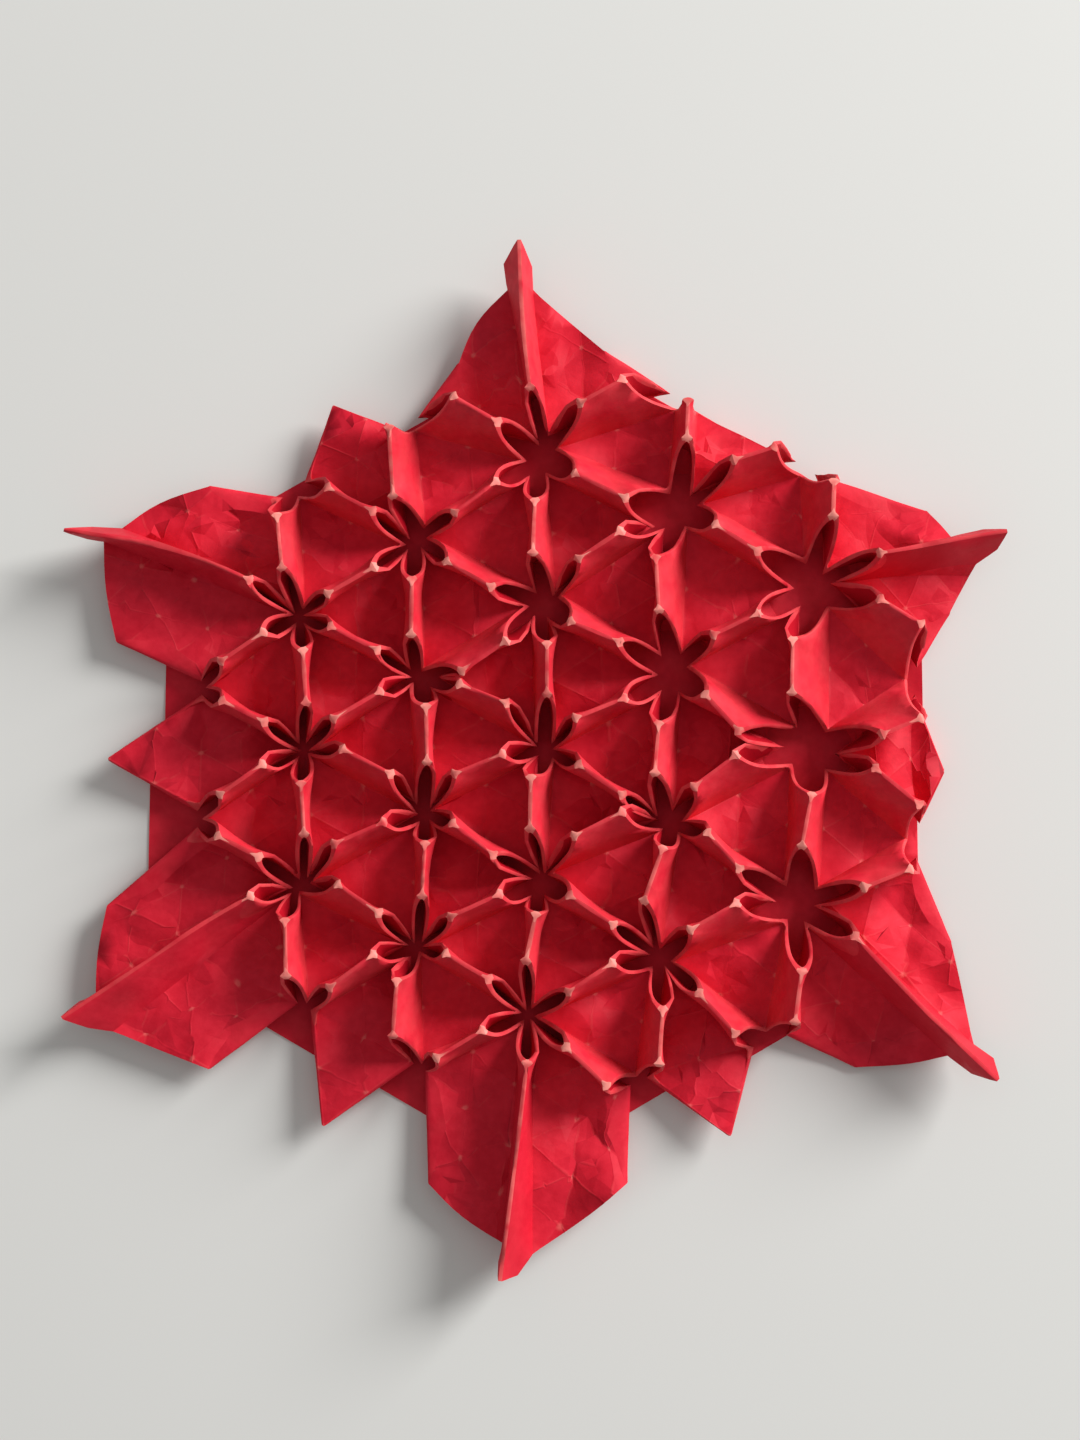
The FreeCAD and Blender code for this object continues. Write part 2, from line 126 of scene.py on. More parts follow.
# Ends of the pleats' top edges in photograph pixels, by well and lattice
# direction 0 to 5. None stands where there is no pleat or it can't be seen.
TIPS = {
    (-2, 2): [(327, 594), (282, 568), (250, 580), (264, 632), (303, 650), (330, 626)],
    (-2, 1): [(333, 719), (306, 703), (265, 722), (263, 764), (301, 783), (342, 749)],
    (-2, 0): [(334, 844), (304, 834), (259, 857), (251, 896), (285, 920), (337, 884)],
    (-1, 2): [(454, 513), (393, 496), (373, 511), (374, 567), (412, 579), (446, 561)],
    (-1, 1): [(461, 671), (411, 635), (378, 650), (381, 691), (426, 706), (459, 684)],
    (-1, 0): [(454, 774), (427, 762), (391, 774), (384, 822), (425, 843), (452, 823)],
    (-1, -1): [(450, 917), (422, 896), (379, 913), (374, 954), (397, 980), (445, 953)],
    (0, 2): [(580, 403), (530, 387), (498, 422), (497, 481), (535, 500), (574, 473)],
    (0, 1): [(578, 559), (533, 553), (492, 587), (506, 641), (547, 643), (570, 621)],
    (0, 0): [(575, 718), (547, 694), (507, 703), (503, 754), (531, 777), (578, 764)],
    (0, -1): [(574, 836), (530, 829), (494, 855), (500, 894), (536, 914), (569, 895)],
    (0, -2): [(568, 992), (526, 961), (489, 979), (483, 1030), (527, 1063), (566, 1047)],
    (1, 1): [(734, 460), (687, 438), (626, 498), (621, 531), (656, 557), (715, 524)],
    (1, 0): [(713, 635), (659, 610), (620, 642), (625, 698), (659, 723), (705, 694)],
    (1, -1): [(694, 787), (655, 773), (623, 795), (623, 812), (663, 848), (707, 832)],
    (1, -2): [(690, 930), (644, 901), (614, 925), (613, 963), (663, 1009), (699, 993)],
    (2, 0): [(880, 553), (833, 516), (758, 551), (759, 613), (793, 639), (880, 599)],
    (2, -1): [(882, 734), (792, 693), (739, 731), (736, 755), (812, 794), (875, 768)],
    (2, -2): [(864, 887), (802, 846), (740, 869), (737, 903), (802, 971), (855, 936)],
    (-2, 3): [None, None, None, None, (277, 515), (327, 487)],
    (-1, 3): [None, None, None, None, (389, 427), (453, 396)],
    (1, 2): [None, None, None, (623, 379), (688, 400), None],
    (2, 1): [None, None, None, (775, 447), (834, 481), None],
    (3, -1): [None, None, (922, 624), (921, 718), None, None],
    (3, -2): [None, None, (920, 805), (911, 869), None, None],
    (2, -3): [None, (795, 1022), (736, 1034), None, None, None],
    (1, -3): [None, (659, 1064), (607, 1086), None, None, None],
    (-2, -1): [(329, 988), (286, 976), None, None, None, None],
    (-1, -2): [(436, 1058), (393, 1036), None, None, None, None],
}

# Leaves in photograph pixels, by lattice direction: the ridge's two middle
# points and its end, then on the anticlockwise and the clockwise side the
# finger, the neck, the blade's edge, its corner and its flank
LEAVES = {
    0: (((917, 547), (951, 540), (1007, 531)),
        ((983, 530), (951, 537), (940, 524), (927, 512), (893, 513)),
        ((997, 549), (976, 564), (969, 576), (950, 612), (935, 636))),
    1: (((525, 350), (521, 300), (519, 240)),
        ((504, 264), (508, 290), (473, 322), (459, 363), (448, 393)),
        ((531, 267), (532, 290), (564, 318), (604, 351), (623, 375))),
    2: (((208, 561), (159, 544), (64, 530)),
        ((87, 538), (104, 541), (104, 590), (116, 641), (150, 657)),
        ((92, 528), (122, 529), (157, 501), (208, 487), (240, 492))),
    3: (((201, 924), (154, 957), (62, 1018)),
        ((88, 1027), (113, 1031), (159, 1050), (208, 1069), (240, 1049)),
        ((80, 1002), (96, 996), (96, 953), (107, 907), (140, 880))),
    4: (((520, 1122), (514, 1176), (500, 1281)),
        ((517, 1275), (532, 1254), (597, 1211), (626, 1184), (630, 1135)),
        ((499, 1262), (503, 1243), (460, 1218), (429, 1184), (425, 1130))),
    5: (((896, 980), (940, 1026), (998, 1080)),
        ((993, 1059), (973, 1045), (962, 989), (951, 943), (931, 906)),
        ((972, 1073), (948, 1055), (912, 1065), (858, 1067), (815, 1050))),
}
RIDGE_LEVELS = (8.2, 7.9, 7.5)
BLADE_LEVELS = (4.4, 3.0, 3.0, 3.0, 2.7)  # finger, neck, edge, corner and flank
BLADE_DROOP = (1.4, 0, 0, 0, 0, 1.8)  # how far a leaf's edge, corner and flank droop, by k

# Tips of the flaps, each anticlockwise of the leaf with the same number
FLAPS = {
    0: (29.6, 40.0, 1.2),
    1: (-28.4, 45.4, 3.4),
    2: (-57.9, -2.6, 3.6),
    3: (-28.9, -50.9, 3.6),
    4: (24.5, -52.1, 3.6),
    5: (53.4, -4.2, 3.4),
}

# Reach of the low web that ends each border well, from its middle
WEBS = {
    (2, 1): -2.0, (1, 2): -2.0,
    (-1, 3): -0.8, (-2, 3): -0.2,
    (-3, 2): 4.6, (-3, 1): 6.1,
    (-2, -1): 4.4, (-1, -2): 4.6,
    (1, -3): 2.4, (2, -3): -0.7,
    (3, -2): -1.0, (3, -1): 0.3,
}

OFF_THE_GRID = (0.4, 0.25)      # a place between the unfolded grid's lines
NEIGHBOUR = [(1, 0), (0, 1), (-1, 1), (-1, 0), (0, -1), (1, -1)]
FLAT_SPACING = 5.0             # steps from well to well in the unfolded sheet
FLAT_CORNER = 16.0             # steps from the middle to the paper's corner
FLAT_ROOT = 1.732              # steps from a well's middle to a root
FLAT_ASIDE = 0.7               # steps from a leaf's ridge to its blade
SLANT = 0.866                  # the cosine of 30 degrees


# The camera

def camera_axes():
    """The way the camera looks, and its upward side."""
    forward = Vector((0, math.cos(CAMERA_ELEVATION), -math.sin(CAMERA_ELEVATION)))
    upward = Vector((0, math.sin(CAMERA_ELEVATION), math.cos(CAMERA_ELEVATION)))
    return forward, upward


def camera_place():
    forward, _ = camera_axes()
    return Vector(CAMERA_TARGET) - forward * CAMERA_DISTANCE


def seen_at(pixel, level):
    """The place at a level that shows at a pixel of the photograph."""
    forward, upward = camera_axes()
    across = (pixel[0] - PHOTO_WIDTH / 2) / FOCAL_PIXELS
    up = (PHOTO_HEIGHT / 2 - pixel[1]) / FOCAL_PIXELS
    ray = forward + upward * up + Vector((1, 0, 0)) * across
    start = camera_place()
    place = start + ray * ((level - start.z) / ray.z)
    return (place.x, place.y)


# The lattice

def well_centres():
    """Every well's place, by its lattice address."""
    centres = dict(BORDER_WELLS)
    for site, pixels in ROOTS.items():
        places = [seen_at(pixel, CELL_LEVEL) for pixel in pixels]
        centres[site] = tuple(sum(values) / 6 for values in zip(*places))
    return centres


WELLS = well_centres()


def ring(well):
    """How many lattice steps a well is from the middle one."""
    column, row = well
    return max(abs(column), abs(row), abs(column + row))


def beside(well, k):
    """The address next to a well in lattice direction k."""
    step = NEIGHBOUR[k % 6]
    return (well[0] + step[0], well[1] + step[1])


def heading(start, end):
    """The angle of the line from one place to another."""
    return math.atan2(end[1] - start[1], end[0] - start[0])


def along(start, angle, reach, side=0.0):
    """The place at a distance along an angle, then to its left by side."""
    x = start[0] + reach * math.cos(angle) - side * math.sin(angle)
    y = start[1] + reach * math.sin(angle) + side * math.cos(angle)
    return (x, y)


def midway(a, b, part=0.5):
    return tuple(p + (q - p) * part for p, q in zip(a, b))


def root_beside(k, side):
    """Which root lies on a petal's anticlockwise (1) or clockwise side."""
    return k if side == 1 else (k - 1) % 6


# The unfolded sheet, in grid steps, for the material's creases

def flat_way(k, reach=1.0):
    """A step in lattice direction k of the unfolded sheet."""
    angle = math.radians(30 + 60 * k)
    return (reach * math.cos(angle), reach * math.sin(angle))


def flat_add(*places):
    return tuple(sum(values) for values in zip(*places))


def flat_well(site):
    a = flat_way(0, FLAT_SPACING * site[0])
    return flat_add(a, flat_way(1, FLAT_SPACING * site[1]))


def flat_aside(k, side):
    return flat_way(k + 1.5, side)


def flat_root(site, k):
    return flat_add(flat_well(site), flat_way(k + 0.5, FLAT_ROOT))


def flat_leaf(place, k, side):
    """Where a place on a leaf lies in the unfolded sheet."""
    tip = seen_at(LEAVES[k][0][2], RIDGE_LEVELS[2])
    start = seen_at(TIPS[tuple(2 * c for c in NEIGHBOUR[k])][k], CREST_LEVEL)
    angle = heading(start, tip)
    x, y = place[0] - tip[0], place[1] - tip[1]
    out = FLAT_CORNER + (x * math.cos(angle) + y * math.sin(angle)) / STEP
    aside = side * (y * math.cos(angle) - x * math.sin(angle)) / STEP
    return flat_add(flat_way(k, out), flat_aside(k, side * (aside + FLAT_ASIDE)))


# Wells and the sheet

class Well:
    """One petalled well: its pleats' directions, opening and petal tips."""

    def __init__(self, address):
        self.address = address
        self.middle = WELLS[address]
        self.inside = ring(address) < 3
        self.angle = {}
        self.spacing = {}
        for k in range(6):
            self.look_towards(k)
        spans = list(self.spacing.values())
        mean = sum(spans) / len(spans)
        self.opening = max(NARROWEST, (mean - 2 * STEP) / math.sqrt(3))
        self.tip = {k: self.find_tip(k) for k in self.angle}

    def look_towards(self, k):
        other = beside(self.address, k)
        if other in WELLS and min(ring(other), ring(self.address)) < 3:
            place = WELLS[other]
            self.angle[k] = heading(self.middle, place)
            self.spacing[k] = math.dist(self.middle, place)
        elif self.inside:
            self.angle[k] = heading(self.middle, seen_at(LEAVES[k][0][2], RIDGE_LEVELS[2]))

    def pleats(self):
        return sorted(self.angle)

    def regular_reach(self, k):
        if k in self.spacing:
            return (self.spacing[k] - STEP) / 2
        return STEP / 2 + SLANT * self.opening

    def find_tip(self, k):
        """Where pleat k's top edge ends over this well."""
        pixel = TIPS.get(self.address, [None] * 6)[k]
        if pixel:
            return seen_at(pixel, CREST_LEVEL)
        return along(self.middle, self.angle[k], self.regular_reach(k))

    def root(self, k):
        """Where the petal root between pleats k and k + 1 lies."""
        if self.address in ROOTS:
            return seen_at(ROOTS[self.address][k], CELL_LEVEL)
        return along(self.middle, self.root_angle(k), self.opening)

    def root_angle(self, k):
        """The direction midway between pleats k and k + 1."""
        low = self.angle.get(k)
        high = self.angle.get((k + 1) % 6)
        if low is None:
            return high - math.radians(30)
        if high is None:
            return low + math.radians(30)
        turn = (high - low) % (2 * math.pi)
        return low + turn / 2


class Sheet:
    """The paper's middle surface: named points and faces."""

    def __init__(self):
        self.points = []
        self.names = []
        self.number = {}
        self.faces = []
        self.wear_and_painted_light = []
        self.flat = []

    def add(self, name, place, level):
        self.number[name] = len(self.points)
        self.names.append(name)
        self.points.append((place[0], place[1], level))

    def at(self, name):
        return self.points[self.number[name]]

    def face(self, *names, wear_and_painted_light=0.0, flat=None):
        """A face, anticlockwise on the paper's front. Its corners' places in
        the unfolded sheet are given where its creases show."""
        self.faces.append([self.number[name] for name in names])
        self.wear_and_painted_light.append(wear_and_painted_light)
        self.flat.extend(flat if flat else [OFF_THE_GRID] * len(names))


# How pale the paper is painted, from 0 to 1: fold wear on edges, knobs and lips, and painted
# highlight on the pleat sides and by crest direction. Below 0 it is painted shade, a darker red.
# Crests: fold wear, made paler or darker by direction as painted light
CREST_WEAR_AND_PAINTED_LIGHT = (0.12, 0.4, 0.1)    # by the pleat's lattice direction
KNOB_WORN = 1.0
LIP_WORN = 0.16
# A faint painted highlight: pale pink on every pleat side, lit or not
PLEAT_PAINTED_HIGHLIGHT = 0.06
# Painted light on the leaves' ridges, by leaf: painted shade below 0, a faint painted highlight
# above
BLADE_PAINTED_LIGHT = (-0.5, 0.06, -0.1, -0.1, -0.25, -0.4)  # the leaves' ridges, by k
# Painted shade: the walls inside a well are painted a darker red
PAINTED_SHADE_INSIDE = -1.0                   # the shaded walls inside a well


def add_root(sheet, well, k):
    """The low point between two petals, its lip and the foot's corner."""
    site = well.address
    root = well.root(k)
    part = min(0.4, ROOT_LIP / math.dist(root, well.middle))
    sheet.add(("root", site, k), root, CELL_LEVEL)
    sheet.add(("root lip", site, k), midway(root, well.middle, part), CELL_LEVEL - LIP_DROP)
    corner = along(well.middle, well.root_angle(k), FOOT_CORNER)
    sheet.add(("foot", site, k), corner, FOOT_LEVEL)


def foot_aside(sheet, well, k, side, reach):
    """How far aside a pleat's foot lies, a given way out along its angle."""
    near = sheet.at(("root", well.address, root_beside(k, side)))
    other = beside(well.address, k)
    if other in WELLS:
        far = sheet.at(("root", other, root_beside((k + 3) % 6, -side)))
    else:
        far = seen_at(LEAVES[k][1 if side == 1 else 2][1], BLADE_LEVELS[1])
    near_reach, near_aside = measured(well, k, near)
    far_reach, far_aside = measured(well, k, far)
    part = (reach - near_reach) / (far_reach - near_reach)
    return near_aside + (far_aside - near_aside) * part


def measured(well, k, place):
    """How far out along pleat k a place lies, and how far to its left."""
    angle = well.angle[k]
    x, y = place[0] - well.middle[0], place[1] - well.middle[1]
    return (x * math.cos(angle) + y * math.sin(angle),
            y * math.cos(angle) - x * math.sin(angle))


def wall_place(sheet, well, k, side, reach):
    """A place on the well's wall, just inside the foot of pleat k."""
    aside = foot_aside(sheet, well, k, side, reach)
    width = abs(aside - foot_aside(sheet, well, k, -side, reach))
    inward = min(WALL_GAP, 0.3 * width)
    return along(well.middle, well.angle[k], reach, aside - side * inward)


def crest_angle(wells, well, k):
    """The direction of pleat k's top edge, out of a well."""
    other = beside(well.address, k)
    if other in wells:
        return heading(well.tip[k], wells[other].tip[(k + 3) % 6])
    return heading(well.tip[k], seen_at(LEAVES[k][0][0], RIDGE_LEVELS[0]))


def add_petal(sheet, wells, well, k):
    """One petal's lip and the wall points below it, on both sides."""
    site = well.address
    tip = well.tip[k]
    out = crest_angle(wells, well, k)
    reach = measured(well, k, tip)[0] + WALL_PAST_TIP
    for side in (1, -1):
        root = sheet.at(("root", site, root_beside(k, side)))
        root_reach = measured(well, k, root)[0]
        end = along(tip, out, 0, side * KNOB_WIDTH / 2)
        rows = [("tip", end, CREST_LEVEL),
                ("tip lip", along(tip, out, -LIP, side * TIP_LIP_HALF), CREST_LEVEL - LIP_TURN),
                ("wall", wall_place(sheet, well, k, side, reach), CELL_LEVEL),
                ("side wall", wall_place(sheet, well, k, side, (root_reach + reach) / 2),
                 CELL_LEVEL)]
        slant = heading(root, end)
        for name, part, share in PETAL_STOPS:
            bow = side * share * PETAL_BOWS[k]
            place = along(midway(root, end, part), slant, 0, bow)
            level = CELL_LEVEL + PLEAT_RISE * part
            rows.append((name, place, level))
            rows.append((name + " lip", along(place, slant, 0, -side * LIP), level - LIP_TURN))
        for name, place, level in rows:
            sheet.add((name, site, k, side), place, level)


def petal_faces(sheet, well, k):
    """The lip and inner wall of one petal."""
    site = well.address
    for side in (1, -1):
        root = root_beside(k, side)
        edge = [(name, site, k, side) for name in ("tip", "shoulder", "belly")]
        edge.append(("root", site, root))
        lip = [(name[0] + " lip",) + name[1:] for name in edge]
        wall = ("wall", site, k, side)
        inner = ("side wall", site, k, side)
        foot = ("foot", site, root)
        for n in range(3):
            names = (lip[n], edge[n], edge[n + 1], lip[n + 1])
            sheet.face(*names[::side], wear_and_painted_light=LIP_WORN)
        # The walls inside the well, painted with painted shade
        for names in ((lip[0], lip[1], wall), (lip[1], lip[2], inner, wall),
                      (lip[2], lip[3], inner), (lip[3], foot, inner), (inner, foot, wall)):
            sheet.face(*names[::side], wear_and_painted_light=PAINTED_SHADE_INSIDE)
    sheet.face(("tip lip", site, k, -1), ("tip", site, k, -1),
               ("tip", site, k, 1), ("tip lip", site, k, 1), wear_and_painted_light=KNOB_WORN)
    # The end wall under the tip, painted with painted shade
    sheet.face(("tip lip", site, k, -1), ("tip lip", site, k, 1),
               ("wall", site, k, 1), ("wall", site, k, -1), wear_and_painted_light=PAINTED_SHADE_INSIDE)
    sheet.face(("wall", site, k, -1), ("wall", site, k, 1),
               ("foot", site, k), ("foot", site, (k - 1) % 6))


def add_feet(sheet, well):
    """The roots and foot corners of a well, and its floor's inner point."""
    pleats = well.pleats()
    floor = well.middle
    if not well.inside:
        floor = along(floor, heading(floor, (0, 0)), FLOOR_SHIFT)
    sheet.add(("middle", well.address), floor, FOOT_LEVEL)
    for k in sorted({root_beside(p, side) for p in pleats for side in (1, -1)}):
        add_root(sheet, well, k)


def make_well(sheet, wells, well):
    site = well.address
    for k in well.pleats():
        add_petal(sheet, wells, well, k)
        petal_faces(sheet, well, k)
        sheet.face(("middle", site), ("foot", site, (k - 1) % 6), ("foot", site, k))


def add_crest(sheet, wells, well, k):
    """The narrow part of a pleat's top edge, just past the blunt end."""
    angle = crest_angle(wells, well, k)
    for side in (1, -1):
        past = along(well.tip[k], angle, KNOB_LENGTH, side * CREST_WIDTH / 2)
        sheet.add(("crest", well.address, k, side), past, CREST_LEVEL)


def shoulder_faces(sheet, site, k, side, root, swell):
    """The fan of paper between a petal's edge and the middle of its pleat."""
    tip, shoulder, belly = [(name, site, k, side) for name in ("tip", "shoulder", "belly")]
    # The pleat sides carry a faint painted highlight
    for names in ((tip, ("crest", site, k, side), swell, shoulder),
                  (shoulder, swell, belly), (belly, swell, root)):
        sheet.face(*names[::side], wear_and_painted_light=PLEAT_PAINTED_HIGHLIGHT)


def pleat_side(sheet, start, k, end):
    """The left side of the pleat from one well to the next, a little full."""
    back = (k + 3) % 6
    root = ("root", start, k)
    far_root = ("root", end, (back - 1) % 6)
    crest = ("crest", start, k, 1)
    far_crest = ("crest", end, back, -1)
    middle = midway(midway(sheet.at(crest), sheet.at(far_crest)),
                    midway(sheet.at(root), sheet.at(far_root)))
    angle = heading(sheet.at(root), sheet.at(far_root))
    swell = ("swell", start, k)
    sheet.add(swell, along(middle, angle, 0, FULLNESS), middle[2])
    shoulder_faces(sheet, start, k, 1, root, swell)
    shoulder_faces(sheet, end, back, -1, far_root, swell)
    # The pleat's middle faces carry the same faint painted highlight
    sheet.face(crest, far_crest, swell, wear_and_painted_light=PLEAT_PAINTED_HIGHLIGHT)
    sheet.face(far_root, root, swell, wear_and_painted_light=PLEAT_PAINTED_HIGHLIGHT)


def make_pleat(sheet, wells, start, k):
    end = beside(start, k)
    back = (k + 3) % 6
    add_crest(sheet, wells, wells[start], k)
    add_crest(sheet, wells, wells[end], back)
    pleat_side(sheet, start, k, end)
    pleat_side(sheet, end, back, start)
    for site, way in ((start, k), (end, back)):
        sheet.face(("tip", site, way, -1), ("crest", site, way, -1),
                   ("crest", site, way, 1), ("tip", site, way, 1), wear_and_painted_light=KNOB_WORN)
    # The top edge: fold wear, with painted light by direction
    sheet.face(("crest", start, k, -1), ("crest", end, back, 1),
               ("crest", end, back, -1), ("crest", start, k, 1), wear_and_painted_light=CREST_WEAR_AND_PAINTED_LIGHT[k % 3])


def make_cell(sheet, site, k):
    """The flat triangle between a well and its neighbours k and k + 1."""
    right = beside(site, k)
    left = beside(site, (k + 1) % 6)
    sheet.face(("root", site, k), ("root", right, (k + 2) % 6), ("root", left, (k + 4) % 6),
               flat=(flat_root(site, k), flat_root(right, k + 2), flat_root(left, k + 4)))


# Leaves and flaps

def add_leaf(sheet, wells, well, k):
    """The outer points of a leaf, by side, 1 being anticlockwise."""
    ridge, left, right = LEAVES[k]
    add_crest(sheet, wells, well, k)
    ridge_places = [seen_at(pixel, level) for pixel, level in zip(ridge, RIDGE_LEVELS)]
    out = heading(ridge_places[0], ridge_places[2])
    for side, outline in ((1, left), (-1, right)):
        for number, name in enumerate(("ridge", "high ridge", "point")):
            place = along(ridge_places[number], out, 0, side * CREST_WIDTH / 2)
            sheet.add((name, k, side), place, RIDGE_LEVELS[number])
        names = ("finger", "neck", "edge", "corner", "flank")
        for name, pixel, level in zip(names, outline, BLADE_LEVELS):
            if name in ("edge", "corner", "flank"):
                level -= BLADE_DROOP[k]
            sheet.add((name, k, side), seen_at(pixel, level), level)
        near = ("root", well.address, root_beside(k, side))
        middle = midway(sheet.at(near), sheet.at(("neck", k, side)))
        sheet.add(("hinge", k, side), middle, HINGE_LEVEL)


def make_leaf(sheet, k):
    """A leaf: the pleat from a corner well to the paper's corner, and its
    two blades."""
    site = tuple(2 * c for c in NEIGHBOUR[k])
    for side in (1, -1):
        root = ("root", site, root_beside(k, side))
        blade_root = ("root", beside(site, k + side), (k + 4) % 6 if side == 1 else (k + 1) % 6)
        crest = ("crest", site, k, side)
        ridge = ("ridge", k, side)
        high_ridge = ("high ridge", k, side)
        point = ("point", k, side)
        finger = ("finger", k, side)
        hinge = ("hinge", k, side)
        neck = ("neck", k, side)
        edge = ("edge", k, side)
        corner = ("corner", k, side)
        flank = ("flank", k, side)
        swell = ("swell", k, side)
        middle = midway(midway(sheet.at(crest), sheet.at(ridge)),
                        midway(sheet.at(root), sheet.at(hinge)))
        sheet.add(swell, middle, middle[2])
        shoulder_faces(sheet, site, k, side, root, swell)
        # The ridge's sides are painted darker or paler by leaf, as painted shade and highlight
        for names in ((crest, ridge, swell), (ridge, hinge, swell), (hinge, root, swell),
                      (hinge, ridge, high_ridge, neck), (neck, high_ridge, point, finger)):
            sheet.face(*names[::side], wear_and_painted_light=BLADE_PAINTED_LIGHT[k])
        for names in ((root, hinge, flank, blade_root), (hinge, edge, corner, flank),
                      (hinge, neck, edge)):
            flat = [flat_leaf(sheet.at(name), k, side) for name in names]
            sheet.face(*names[::side], flat=flat[::side])
    # The ridge's top: knob wear, and crest wear with painted light by direction
    rows = (("tip", site, k), ("crest", site, k), ("ridge", k), ("high ridge", k), ("point", k))
    for number, (low, high) in enumerate(zip(rows, rows[1:])):
        sheet.face(low + (-1,), high + (-1,), high + (1,), low + (1,),
                   wear_and_painted_light=CREST_WEAR_AND_PAINTED_LIGHT[k % 3] if number else KNOB_WORN)


def make_flap(sheet, k):
    """The pointed flap between leaves k and k + 1."""
    site = tuple(a + b for a, b in zip(NEIGHBOUR[k], NEIGHBOUR[(k + 1) % 6]))
    right = beside(site, k)
    left = beside(site, (k + 1) % 6)
    tip = FLAPS[k]
    sheet.add(("flap", k), tip, tip[2])
    right_root = ("root", right, (k + 2) % 6)
    left_root = ("root", left, (k + 4) % 6)
    flats = [flat_root(site, k), flat_root(right, k + 2), flat_root(left, k + 4)]
    sheet.face(("root", site, k), right_root, left_root, flat=flats)
    flats[0] = flat_way(k + 0.5, SLANT * FLAT_CORNER)
    sheet.face(("flap", k), left_root, right_root, flat=(flats[0], flats[2], flats[1]))
    make_web(sheet, right, k, left, (("flank", k, 1), ("corner", k, 1)), (("flap", k),))
    make_web(sheet, left, k, right, (("flap", k),),
             (("flank", (k + 1) % 6, -1), ("corner", (k + 1) % 6, -1)))


def web_corner(site, k, end, side, most):
    """Where a web's hidden corner lies, under the leaf or flap beside it."""
    middle = WELLS[site]
    out = math.radians(60 + 60 * k)
    x, y = end[0] - middle[0], end[1] - middle[1]
    ahead = x * math.cos(out) + y * math.sin(out)
    aside = side * (y * math.cos(out) - x * math.sin(out))
    reach = max(WEB_BACK, min(WEBS[site], ahead - WEB_HIDDEN))
    return along(middle, out, reach, side * min(most, aside + WEB_TUCK))


def make_web(sheet, site, k, twin, low_ends, high_ends):
    """The low web of paper from a border well out to the paper's edge. Its
    two sides turn back under the leaf and the flap beside it."""
    half_gap = math.dist(WELLS[site], WELLS[twin]) / 2 - WEB_GAP
    for name, ends, turn, side in (("low", low_ends, (k + 4) % 6, -1),
                                   ("high", high_ends, (k + 2) % 6, 1)):
        x, y, level = sheet.at(ends[-1])
        lip = along((x, y), heading((x, y), WELLS[site]), ROOT_LIP)
        sheet.add((name, site), lip, level - LIP_DROP)
        most = half_gap if ends[-1][0] == "flap" else WEB_HALF
        sheet.add((name + " web", site), web_corner(site, k, (x, y), side, most), FOOT_LEVEL)
        for names in ((("root", site, turn),) + ends + ((name, site), ("root lip", site, turn)),
                      (("root lip", site, turn), (name, site), (name + " web", site),
                       ("foot", site, turn)),
                      (("middle", site), ("foot", site, turn), (name + " web", site))):
            sheet.face(*names[::-side])
    sheet.face(("middle", site), ("low web", site), ("high web", site))


def fold():
    """The whole folded sheet's middle surface."""
    sheet = Sheet()
    wells = {site: Well(site) for site in WELLS}
    for well in wells.values():
        add_feet(sheet, well)
    for well in wells.values():
        make_well(sheet, wells, well)
    for site in WELLS:
        for k in range(3):
            if beside(site, k) in WELLS and min(ring(site), ring(beside(site, k))) < 3:
                make_pleat(sheet, wells, site, k)
    for site in WELLS:
        for k in (0, 1):
            around = (site, beside(site, k), beside(site, k + 1))
            if all(a in WELLS for a in around) and sum(ring(a) == 3 for a in around) < 2:
                make_cell(sheet, site, k)
    for k in range(6):
        add_leaf(sheet, wells, wells[tuple(2 * c for c in NEIGHBOUR[k])], k)
        make_leaf(sheet, k)
    for k in range(6):
        make_flap(sheet, k)
    return sheet


# The mesh

SHARP_ANGLE = math.radians(24)
SOFT_KINDS = {"wall", "side wall", "swell", "flank"}  # points whose folds stay soft
POINTED_KINDS = {"corner", "point", "neck", "flap", "tip", "crest"}  # and stay sharp
FINE_EDGE = 2.2                # longest edge after subdivision
FACES_KEPT = 0.74              # share of the finished faces, fewest where it is flat
FACET_RISE = 0.14              # how far the grid's creases stand off a flat face
BULGE = 0.10                   # soft unevenness of the paper
BROAD_NOISE = 0.16             # how close together its waves are, to a millimetre
FINE_NOISE = 0.5
FINE_SHARE = 0.35              # the fine waves' height beside the broad ones'


def coarse_mesh(sheet):
    """The fold as a Blender mesh with its fold lines creased."""
    mesh = bpy.data.meshes.new("folded_paper")
    mesh.from_pydata(sheet.points, [], sheet.faces)
    # Per face: pale fold wear and painted highlight above 0, painted shade below 0
    wear_and_painted_light = mesh.attributes.new("wear_and_painted_light", "FLOAT", "FACE")
    wear_and_painted_light.data.foreach_set("value", sheet.wear_and_painted_light)
    flat = mesh.attributes.new("flat", "FLOAT_VECTOR", "CORNER")
    flat.data.foreach_set("vector", [c for place in sheet.flat for c in (*place, 0.0)])
    build = bmesh.new()
    build.from_mesh(mesh)
    crease = build.edges.layers.float.new("crease_edge")
    for edge in build.edges:
        kinds = {sheet.names[vert.index][0] for vert in edge.verts}
        angle = edge.calc_face_angle(math.pi)
        if angle > SHARP_ANGLE and not (kinds & SOFT_KINDS and len(kinds) == 2):
            edge[crease] = 1.0
            edge.smooth = False
    pointed = build.verts.layers.float.new("crease_vert")
    for vert in build.verts:
        if sheet.names[vert.index][0] in POINTED_KINDS:
            vert[pointed] = 1.0
    build.to_mesh(mesh)
    build.free()
    return mesh


def baked(piece):
    """The piece's mesh with its modifiers applied."""
    graph = bpy.context.evaluated_depsgraph_get()
    mesh = bpy.data.meshes.new_from_object(piece.evaluated_get(graph), depsgraph=graph)
    piece.modifiers.clear()
    piece.data = mesh
    return mesh


